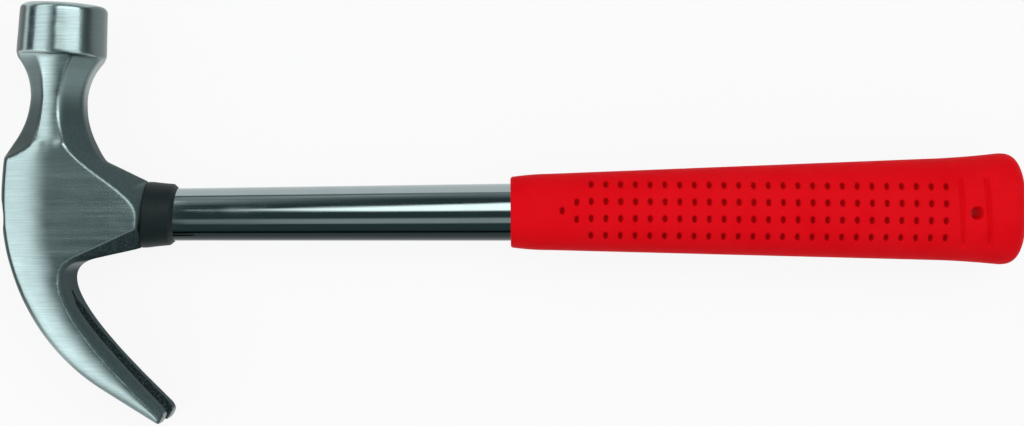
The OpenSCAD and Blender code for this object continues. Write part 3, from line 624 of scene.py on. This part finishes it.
inner_neck_r, inner_r = shaft_neck_r - shaft_wall, shaft_r - shaft_wall
taper_xs = np.linspace(taper_start, taper_end, 12)
taper_rs = mix(shaft_neck_r, shaft_r, (taper_xs - taper_start) / (taper_end - taper_start))
shaft_profile = [
    (shaft_head_end, inner_neck_r + rim_round), (shaft_head_end, shaft_neck_r - rim_round),
    (shaft_head_end + rim_round * rim_bow, shaft_neck_r - rim_round * rim_bow),
    (shaft_head_end + rim_round, shaft_neck_r),
    *zip(taper_xs, taper_rs),
    (shaft_end, shaft_r), (shaft_end, inner_r), (taper_end, inner_r), (taper_start, inner_neck_r),
    (shaft_head_end + rim_round, inner_neck_r),
]
shaft_turns = 2 * np.pi * np.arange(shaft_sides) / shaft_sides
points = [(px, pr * math.cos(t), pr * math.sin(t)) for px, pr in shaft_profile for t in shaft_turns]
shaft = piece("chromed_tube", points, skin(len(shaft_profile), shaft_sides, closed=True), shaft_crease)
# A dark band is painted low on the tube's side, between two angles from the top: painted shade over the
# plating's reflection
oil_top, oil_low = (-36, -42), (-84, -74)
shaft_y, shaft_z = mm_places(shaft).T[1:]
from_top = np.degrees(np.arctan2(shaft_y, shaft_z))
keep(shaft, oily=ramp(from_top, *oil_top) * ramp(from_top, *oil_low))
shaft_chrome, tree, shader = finish("shaft_chrome", 1.0)
marks = group(tree, marks_group, Patch_mm=16.0, Cover=0.28)
along = add(tree, "ShaderNodeMapping", {"Vector": place_on(tree), "Scale": (60, 3200, 3200)}).outputs[0]
polish = noise(tree, along, 1.0, 3.0)
film = spread_to(tree, marks["Mask"], 0, 0.5, 0, 1)
plated = tinted(tree, film, (0.345, 0.41, 0.415, 1), (0.295, 0.355, 0.36, 1))
# Painted shade: the plating turns dark in the band
oiled = tinted(tree, stored(tree, "oily"), plated, (0.022, 0.034, 0.036, 1))
gloss = calc(tree, "ADD", spread_to(tree, polish, 0.05, 0.11), spread_to(tree, marks["Mask"], 0, 0.06, 0, 1))
wire(tree, shader, Base_Color=oiled, Roughness=gloss, Normal=bumped(tree, polish, 0.1, 0.00001))
shaft.data.materials.append(shaft_chrome)
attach(shaft, "root")
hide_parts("shaft")


# Core plug: a turned hardwood dowel driven into the head end of the tube, which keeps the tube from
# closing up in the eye. Its sawn end shows at the crown, split by the wedge.
plug_wood, tree, shader = finish("plug_wood", 0.0)
where = place_on(tree)
centred = add(tree, "ShaderNodeMapping", {"Vector": where, "Location": (0, 0.004, -0.009)}).outputs[0]
rings_wave = add(
    tree, "ShaderNodeTexWave", {"Vector": centred, "Scale": 260.0, "Distortion": 2.5, "Detail": 3.0},
    wave_type="RINGS", rings_direction="X",
)
pores = noise(tree, where, 3800.0, 2.0)
year = tinted(tree, rings_wave.outputs[1], (0.50, 0.33, 0.17, 1), (0.36, 0.21, 0.10, 1))
end_grain = tinted(tree, spread_to(tree, pores, 0, 0.6, 0.55, 0.7), year, (0.14, 0.08, 0.04, 1))
wire(tree, shader, Base_Color=end_grain, Roughness=spread_to(tree, pores, 0.6, 0.8))
wire(tree, shader, Normal=bumped(tree, pores, 0.4, 0.00008))
core_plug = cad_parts["core_plug"]
core_plug.data.materials.clear()
core_plug.data.materials.append(plug_wood)


# Wedge: a cropped strip of plain steel, driven flush into the plug from the crown to spread plug and
# tube in the eye. It keeps its black mill scale, rubbed bright on the struck end.
wedge_steel, tree, shader = finish("wedge_steel", 1.0)
grain = group(tree, grain_group, Line_mm=0.3, Length_mm=3.0)
marks = group(tree, marks_group, Patch_mm=2.5, Cover=0.4)
mill_scale = tinted(tree, spread_to(tree, grain["Band"], 0, 1), (0.20, 0.20, 0.20, 1), (0.34, 0.34, 0.33, 1))
rubbed = tinted(tree, marks["Mask"], mill_scale, (0.48, 0.48, 0.47, 1))
wire(tree, shader, Base_Color=rubbed, Roughness=spread_to(tree, grain["Line"], 0.35, 0.6))
wire(tree, shader, Normal=bumped(tree, grain["Line"], 0.4, 0.00005))
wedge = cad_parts["wedge"]
wedge.data.materials.clear()
wedge.data.materials.append(wedge_steel)


# Collar: a moulded ring of matt black plastic, slipped over the tube before the head is driven on.
# It covers the joint at the eye boss, and both of its ends slant.
collar_len, collar_lean, collar_end_r, collar_gap = 10.0, math.radians(4.3), 19.7 / 2, 0.05
collar_sides, collar_crease = 160, 24
collar_rows = [
    (0.0, 0.0, eye_r), (0.0, 0.0, boss_r - 0.2), (0.0, 0.06, boss_r - 0.06), (0.0, 0.2, boss_r),
    (0.2, 0.0, boss_r - 0.08), (0.4, 0.0, mix(boss_r, collar_end_r, 0.42)),
    (0.6, 0.0, mix(boss_r, collar_end_r, 0.68)),
    (0.86, 0.0, collar_end_r + 0.03), (0.875, 0.0, collar_end_r - 0.06),
    (0.99, 0.0, collar_end_r - 1.08), (1.0, 0.0, collar_end_r - 1.22), (1.0, 0.0, eye_r),
]
points = []
for share, shift, radius in collar_rows:
    for i in range(collar_sides):
        turn = 2 * math.pi * i / collar_sides
        py, pz = radius * math.cos(turn), radius * math.sin(turn)
        front = boss_x + collar_gap + py * math.tan(boss_lean)
        rear = boss_x + collar_len + py * math.tan(collar_lean)
        points.append((mix(front, rear, share) + shift, py, pz))
collar = piece("collar_ring", points, skin(len(collar_rows), collar_sides, closed=True), collar_crease)
collar_plastic, tree, shader = finish("collar_plastic", 0.0, Specular_IOR_Level=0.2)
marks = group(tree, marks_group, Patch_mm=4.0, Cover=0.38)
worn = group(tree, wear_group, From=0.54, To=0.66)
spark = noise(tree, place_on(tree), 2400.0, 3.0)
film = spread_to(tree, marks["Mask"], 0, 0.4, 0, 1)
dusty = tinted(tree, film, (0.007, 0.0145, 0.015, 1), (0.014, 0.024, 0.0245, 1))
scuffed = tinted(tree, worn["Mask"], dusty, (0.06, 0.066, 0.066, 1))
wire(tree, shader, Base_Color=scuffed, Roughness=spread_to(tree, spark, 0.42, 0.6))
wire(tree, shader, Normal=bumped(tree, spark, 0.35, 0.00006))
collar.data.materials.append(collar_plastic)
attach(collar, "root")
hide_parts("collar")


# Grip: a thick sleeve of soft red PVC, dip-moulded with a closed, flared butt and drawn over the tube.
# Rows of dimples and two cross grooves are moulded into both sides, and a hang hole goes through the butt.
grip_start, grip_len, grip_lip, grip_swell, butt_round, butt_flare = 147.6, 164.9, 0.8, 12.0, 8.0, 18.5
grip_mouth, grip_square, round_power, last_round = 22.8 / 2, 2.25, 3.0, 0.995
half_heights = (grip_mouth, 24.6 / 2, 32.9 / 2, 35.8 / 2)
half_thicks = (grip_mouth, mix(22.8, 27.4, 0.2) / 2, 27.4 / 2, 28.7 / 2)
grip_end = grip_start + grip_len
flare_end, swell_end = grip_end - butt_round, grip_start + grip_swell
flare_start, flare_straight = flare_end - butt_flare, 0.6
groove_in, groove_pitch, groove_w, groove_depth, groove_len = 13.5, 8.3, 2.4, 1.3, 24.0
groove_y, groove_lean = -1.0, math.tan(math.radians(3.0))
bore_gap, bore_lead, lip_rows = 0.05, 0.3, [(0.0, 1.0), (0.12, 0.5), (0.45, 0.14)]
grip_sides, side_pull, fine_start, fine_end = 240, 0.225, 161, 288


def grip_half(px, mouth, swell, body, butt):
    if px < swell_end:
        return mix(mouth, swell, math.sin(math.pi / 2 * (px - grip_start) / grip_swell))
    if px < flare_start:
        return mix(swell, body, (px - swell_end) / (flare_start - swell_end))
    if px < flare_end:
        t = (px - flare_start) / butt_flare
        return mix(body, butt, mix(t * t, t, flare_straight))
    return butt * (1 - ((px - flare_end) / butt_round) ** round_power) ** (1 / round_power)


# Points round the oval lie closer together on the sides, which carry the dimples
turns = 2 * np.pi * (np.arange(grip_sides) + 0.5) / grip_sides
turns = turns + side_pull * np.sin(2 * turns)
oval_y = np.sign(np.cos(turns)) * np.abs(np.cos(turns)) ** (2 / grip_square)
oval_z = np.sign(np.sin(turns)) * np.abs(np.sin(turns)) ** (2 / grip_square)


def grip_ring(px, shrink=0.0):
    ry, rz = (grip_half(px, *half_heights) - shrink) * oval_y, (grip_half(px, *half_thicks) - shrink) * oval_z
    across = ry - groove_y
    gaps = [np.abs(px - grip_end + groove_in + g * groove_pitch + groove_lean * across) for g in (0, 1)]
    dip = (1 + np.cos(2 * np.pi * np.minimum(np.minimum(*gaps) / groove_w, 0.5))) / 2
    sunk = groove_depth * dip * ease(np.clip((groove_len / 2 - np.abs(across)) / groove_w, 0, 1))
    return np.stack([np.full(grip_sides, px), ry, rz - np.sign(rz) * sunk], axis=1)


def bore_ring(px):
    radius = shaft_r + bore_gap
    return np.stack([np.full(grip_sides, px), radius * np.cos(turns), radius * np.sin(turns)], axis=1)


bore_end = shaft_end + bore_gap
grip_xs = [*np.arange(grip_start + grip_lip, fine_start, 1.0), *np.arange(fine_start, fine_end, 0.42)]
grip_xs += [*np.arange(fine_end, flare_end - 0.1, 0.3)]
grip_xs += [flare_end + butt_round * last_round * math.sin(math.pi / 2 * t) for t in steps(22)]
grip_rings = [bore_ring(bore_end), bore_ring(grip_start + bore_lead), bore_ring(grip_start)]
grip_rings += [grip_ring(grip_start + grip_lip * share, grip_lip * shrink) for share, shrink in lip_rows]
grip_rings += [grip_ring(px) for px in grip_xs]
faces, last = skin(len(grip_rings), grip_sides), (len(grip_rings) - 1) * grip_sides
points = np.vstack(grip_rings + [[(bore_end, 0, 0)], [(grip_rings[-1][0][0], 0, 0)]])
for i in range(grip_sides):
    i2 = (i + 1) % grip_sides
    faces.append((len(points) - 2, i2, i))
    faces.append((len(points) - 1, last + i, last + i2))
grip = piece("grip_sleeve", points, faces)


def made_plain(thing):
    """Turns what an object's modifiers give into its own plain mesh, and removes them."""
    shaped = thing.evaluated_get(bpy.context.evaluated_depsgraph_get())
    thing.data = bpy.data.meshes.new_from_object(shaped)
    thing.modifiers.clear()


# Hang hole, flared where it meets each side
hang_x, hang_y, hang_r, hang_flare, hang_face = grip_end - 17.3, -1.3, 2.0, 0.25, 13.95
cutter_half, cutter_sides, flare_over, flare_deep = 20.0, 64, 0.35, 1.4
cutter_rows = [(cutter_half, hang_flare * 1.6)]
for down in np.linspace(0, flare_deep, 9):
    cutter_rows.append((hang_face + flare_over - down, hang_flare * (1 - down / flare_deep) ** 2))
cutter_rows += [(-rise, flare) for rise, flare in reversed(cutter_rows)]
cutter_turns = 2 * np.pi * np.arange(cutter_sides) / cutter_sides
points = [
    (hang_x + (hang_r + flare) * math.cos(turn), hang_y + (hang_r + flare) * math.sin(turn), rise)
    for rise, flare in cutter_rows for turn in cutter_turns
]
faces = [tuple(range(cutter_sides)), tuple(reversed(range(len(points) - cutter_sides, len(points))))]
faces += [(a, d, c, b) for a, b, c, d in skin(len(cutter_rows), cutter_sides)]
cutter = piece("hang_hole_cutter", points, faces)
hole = grip.modifiers.new("hang_hole", "BOOLEAN")
hole.operation, hole.object, hole.solver = "DIFFERENCE", cutter, "MANIFOLD"
made_plain(grip)
bpy.data.objects.remove(cutter)

# Dimples: a slightly tilted grid with three lead dimples before it, pressed into both sides
dimples = bpy.data.node_groups.new("grip_dimples", "GeometryNodeTree")
dimples.interface.new_socket("Grip", in_out="INPUT", socket_type="NodeSocketGeometry")
dimple_sizes = {
    "Column Pitch": ("NodeSocketFloat", 0.00468), "Columns": ("NodeSocketInt", 25),
    "Row Pitch": ("NodeSocketFloat", 0.00547), "Rows": ("NodeSocketInt", 4),
    "Middle": ("NodeSocketVector", eye_middle + Vector((0.22935, -0.00026, 0))),
    "Tilt": ("NodeSocketVector", Vector((0, 0, math.radians(-0.82)))),
    "Lead Rise": ("NodeSocketFloat", -0.00035), "Lead Gap": ("NodeSocketFloat", 0.0046),
    "Half Length": ("NodeSocketFloat", 0.001), "Half Width": ("NodeSocketFloat", 0.0015),
    "Depth": ("NodeSocketFloat", 0.0009), "Rim": ("NodeSocketFloat", 0.00005),
}
for key, (kind, value) in dimple_sizes.items():
    dimples.interface.new_socket(key, in_out="INPUT", socket_type=kind).default_value = value
dimples.interface.new_socket("Finish", in_out="INPUT", socket_type="NodeSocketMaterial")
dimples.interface.new_socket("Grip", in_out="OUTPUT", socket_type="NodeSocketGeometry")
given, result = add(dimples, "NodeGroupInput").outputs, add(dimples, "NodeGroupOutput")


def sum_of(operation, first, second):
    return calc(dimples, operation, first, second)


def point_at(along, across):
    return add(dimples, "ShaderNodeCombineXYZ", {"X": along, "Y": across}).outputs[0]


grid_len = sum_of("MULTIPLY", given["Column Pitch"], sum_of("SUBTRACT", given["Columns"], 1.0))
grid_width = sum_of("MULTIPLY", given["Row Pitch"], sum_of("SUBTRACT", given["Rows"], 1.0))
grid = add(dimples, "GeometryNodeMeshGrid", {
    "Size X": grid_len, "Size Y": grid_width, "Vertices X": given["Columns"], "Vertices Y": given["Rows"],
})
lead = sum_of("SUBTRACT", sum_of("MULTIPLY", grid_len, -0.5), given["Lead Gap"])
pair_low = sum_of("SUBTRACT", given["Lead Rise"], sum_of("MULTIPLY", given["Row Pitch"], 0.5))
pair = add(dimples, "GeometryNodeMeshLine", {
    "Count": 2, "Start Location": point_at(lead, pair_low), "Offset": point_at(0.0, given["Row Pitch"]),
})
first_at = point_at(sum_of("SUBTRACT", lead, given["Lead Gap"]), given["Lead Rise"])
first = add(dimples, "GeometryNodeMeshLine", {"Count": 1, "Start Location": first_at})
layout = add(dimples, "GeometryNodeJoinGeometry")
for part in (first, pair, grid):
    dimples.links.new(part.outputs[0], layout.inputs[0])
placed = add(dimples, "GeometryNodeTransform", {
    "Geometry": layout.outputs[0], "Translation": given["Middle"], "Rotation": given["Tilt"],
})
flatten = point_at(sum_of("DIVIDE", 1.0, given["Half Length"]), sum_of("DIVIDE", 1.0, given["Half Width"]))
centres = add(dimples, "GeometryNodeTransform", {"Geometry": placed.outputs[0], "Scale": flatten})
place = add(dimples, "GeometryNodeInputPosition").outputs[0]
normal = add(dimples, "GeometryNodeInputNormal").outputs[0]
nearest = add(dimples, "GeometryNodeProximity", {
    "Geometry": centres.outputs[0], "Sample Position": vector_calc(dimples, "MULTIPLY", place, flatten)[0],
}, target_element="POINTS").outputs["Distance"]
off_axis = vector_calc(dimples, "SUBTRACT", place, given["Middle"])[0]
off_axis = vector_calc(dimples, "MULTIPLY", off_axis, (0, 1, 1))[0]
outside = sum_of("GREATER_THAN", vector_calc(dimples, "DOT_PRODUCT", off_axis, normal)["Value"], 0.0)


def falls(start, end):
    """1 nearer to a dimple's middle than the start and 0 past the end, on the outside of the grip."""
    share = spread_to(dimples, nearest, 1.0, 0.0, start, end, interpolation_type="SMOOTHSTEP")
    return sum_of("MULTIPLY", share, outside)


pit, swell = falls(0.5, 1.0), falls(1.0, 1.7)
sunk = sum_of("SUBTRACT", sum_of("MULTIPLY", swell, given["Rim"]), sum_of("MULTIPLY", pit, given["Depth"]))
pushed = add(dimples, "ShaderNodeVectorMath", {0: normal, "Scale": sunk}, operation="SCALE").outputs[0]
pressed = add(dimples, "GeometryNodeSetPosition", {"Geometry": given["Grip"], "Offset": pushed})
marked = add(dimples, "GeometryNodeStoreNamedAttribute", {
    "Geometry": pressed.outputs[0], "Name": "pit", "Value": pit,
}, data_type="FLOAT", domain="POINT")
whole = add(dimples, "GeometryNodeRealizeInstances", {"Geometry": marked.outputs[0]})
coated = add(dimples, "GeometryNodeSetMaterial", {"Geometry": whole.outputs[0], "Material": given["Finish"]})
dimples.links.new(coated.outputs[0], result.inputs[0])

grip_pvc, tree, shader = finish("grip_pvc", 0.0, IOR=1.3, Specular_IOR_Level=0.05, Emission_Strength=1.0)
marks = group(tree, marks_group, Patch_mm=14.0, Cover=0.34)
where = place_on(tree)
clouds, grained = noise(tree, where, 70.0, 4.0), noise(tree, where, 1500.0, 3.0, 0.6)
pvc = tinted(tree, spread_to(tree, clouds, 0, 1), (0.80, 0.003, 0.008, 1), (0.88, 0.005, 0.011, 1))
handled = tinted(tree, spread_to(tree, marks["Mask"], 0, 0.3, 0, 1), pvc, (0.70, 0.006, 0.012, 1))
# Painted shade: the middle of each dimple is darkened
pit_shade = spread_to(tree, stored(tree, "pit"), 0, 0.85, 0.15, 0.9)
shaded = tinted(tree, pit_shade, handled, (0.25, 0.0, 0.0, 1))
# Painted light: the hang hole's wall glows dark red from the grip's emission
passed = tinted(tree, stored(tree, "lit_through"), (0, 0, 0, 1), (0.06, 0.0, 0.0003, 1))
gloss = calc(tree, "ADD", spread_to(tree, grained, 0.46, 0.6), spread_to(tree, marks["Mask"], 0, 0.08, 0, 1))
wire(tree, shader, Base_Color=shaded, Emission_Color=passed, Roughness=gloss)
wire(tree, shader, Normal=bumped(tree, grained, 0.25, 0.00006))
press = grip.modifiers.new("dimples", "NODES")
press.node_group = dimples
inputs = {item.name: item.identifier for item in dimples.interface.items_tree if item.in_out == "INPUT"}
press[inputs["Finish"]] = grip_pvc
made_plain(grip)
# The hang hole's wall glows faintly: painted light, in place of light let through the thin soft wall
grip_x, grip_y, grip_z = mm_places(grip).T
in_hole = np.hypot(grip_x - hang_x, grip_y - hang_y) < hang_r + hang_flare * 1.5
keep(grip, lit_through=in_hole * ramp(np.abs(grip_z), hang_face, hang_face - 1.0))
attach(grip, "root")
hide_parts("grip")


# Table: a plain white sheet that the hammer lies on. It is lit softly enough to keep a light shadow,
# and it shines white to the camera and in the polished metal.
table_half, table_gap, shine_share = 20.0, 0.0002, 0.9
table_corners = [(px * table_half, py * table_half) for px, py in ((-1, -1), (1, -1), (1, 1), (-1, 1))]
table_mesh = bpy.data.meshes.new("table")
table_mesh.from_pydata([(px, py, cad_low.z - table_gap) for px, py in table_corners], [], [(0, 1, 2, 3)])
table = bpy.data.objects.new("table", table_mesh)
scene.collection.objects.link(table)
table_white = bpy.data.materials.new("table_white")
table_white.use_nodes = True
tree = table_white.node_tree
tree.nodes.remove(tree.nodes["Principled BSDF"])
sheet = add(tree, "ShaderNodeBsdfDiffuse", {"Color": (0.72, 0.72, 0.72, 1)})
shine = add(tree, "ShaderNodeEmission", {"Color": (1, 1, 1, 1), "Strength": 1.0})
# The shine counts for rays from the camera, and for those that reach it by a mirror or through glass
path = add(tree, "ShaderNodeLightPath").outputs
mirrored = calc(tree, "MAXIMUM", path["Is Camera Ray"], path["Is Glossy Ray"])
seen = calc(tree, "MAXIMUM", mirrored, path["Is Transmission Ray"])
shining = calc(tree, "MULTIPLY", seen, shine_share)
blend = add(tree, "ShaderNodeMixShader", {0: shining, 1: sheet.outputs[0], 2: shine.outputs[0]})
wire(tree, tree.nodes["Material Output"], Surface=blend.outputs[0])
table_mesh.materials.append(table_white)


# Studio: large soft panels overhead, drawn into the sky by direction, with a dark gap above the poll.
# Each panel spans shares of the height: u along the shaft and v towards the striking face.
studio = bpy.data.worlds.new("studio")
scene.world = studio
studio.use_nodes = True
tree = studio.node_tree
lowest_up, point_v = 0.02, 0.32
sky_direction = add(tree, "ShaderNodeTexCoord").outputs["Generated"]
toward = add(tree, "ShaderNodeSeparateXYZ", {0: sky_direction}).outputs
up = calc(tree, "MAXIMUM", toward["Z"], lowest_up)
sky_u, sky_v = calc(tree, "DIVIDE", toward["X"], up), calc(tree, "DIVIDE", toward["Y"], up)


def past(value, at, soft):
    """0 before a line in the sky, 1 past it, and 1 to 0 where the softness is negative."""
    low, high = (0.0, 1.0) if soft > 0 else (1.0, 0.0)
    return spread_to(tree, value, low, high, at - abs(soft), at + abs(soft), interpolation_type="SMOOTHSTEP")


def panel(glow, u, v, soft_u=0.1, soft_v=0.1, point=0.0):
    """Light of a panel between two lines along u and two along v, with its left end drawn out to a point."""
    off_middle = calc(tree, "ABSOLUTE", calc(tree, "SUBTRACT", sky_v, point_v))
    light = past(calc(tree, "MULTIPLY_ADD", off_middle, -point, sky_u), u[0], soft_u)
    for edge in (past(sky_u, u[1], -soft_u * 2), past(sky_v, v[0], soft_v), past(sky_v, v[1], -soft_v)):
        light = calc(tree, "MULTIPLY", light, edge)
    return calc(tree, "MULTIPLY", light, glow)


def lamp(glow, direction, wide, soft):
    """Light of a round soft lamp, by how near a direction comes to its middle, as a cosine."""
    near = vector_calc(tree, "DOT_PRODUCT", sky_direction, Vector(direction).normalized())["Value"]
    return calc(tree, "MULTIPLY", past(near, wide, soft), glow)


panels = [
    panel(1.36, u=(-2.2, -0.46), v=(-0.7, 1.9), soft_u=0.15),
    panel(2.5, u=(-0.145, 1.4), v=(0.13, 0.87), soft_u=0.04, soft_v=0.08, point=0.3),
    panel(1.1, u=(0.3, 2.4), v=(-0.5, 0.1), soft_u=0.25),
    panel(0.42, u=(-0.2, 0.3), v=(-0.95, -0.42)),
    panel(0.3, u=(-1.6, -0.26), v=(0.9, 6.0)),
    lamp(1.0, (-0.75, -0.6, 0.35), wide=0.88, soft=0.08),
    lamp(0.7, (0.75, -0.6, 0.35), wide=0.88, soft=0.08),
    lamp(0.45, (0.35, 0.94, 0.0), wide=0.9, soft=0.15),
]
light = panels[0]
for more in panels[1:]:
    light = calc(tree, "ADD", light, more)
lit = add(tree, "ShaderNodeBackground", {"Color": (0.97, 1.0, 1.0, 1), "Strength": light})
background = add(tree, "ShaderNodeAddShader", {0: lit.outputs[0], 1: tree.nodes["Background"].outputs[0]})
tree.nodes["Background"].inputs["Color"].default_value = (0.04, 0.066, 0.07, 1)
wire(tree, tree.nodes["World Output"], Surface=background.outputs[0])

# Camera: straight above the hammer, turned so that the grip rises a little to the right
camera_left, camera_low, camera_above, camera_turn = 0.000765, 0.001125, 0.68, math.radians(-0.4)
camera_data = bpy.data.cameras.new("camera")
camera_data.lens, camera_data.sensor_width = 74.1, 36.0
camera = bpy.data.objects.new("camera", camera_data)
scene.collection.objects.link(camera)
middle_x, middle_y = (cad_low.x + cad_high.x) / 2, (cad_low.y + cad_high.y) / 2
camera.location = (middle_x - camera_left, middle_y - camera_low, eye_middle.z + camera_above)
camera.rotation_euler = (0, 0, camera_turn)
scene.camera = camera
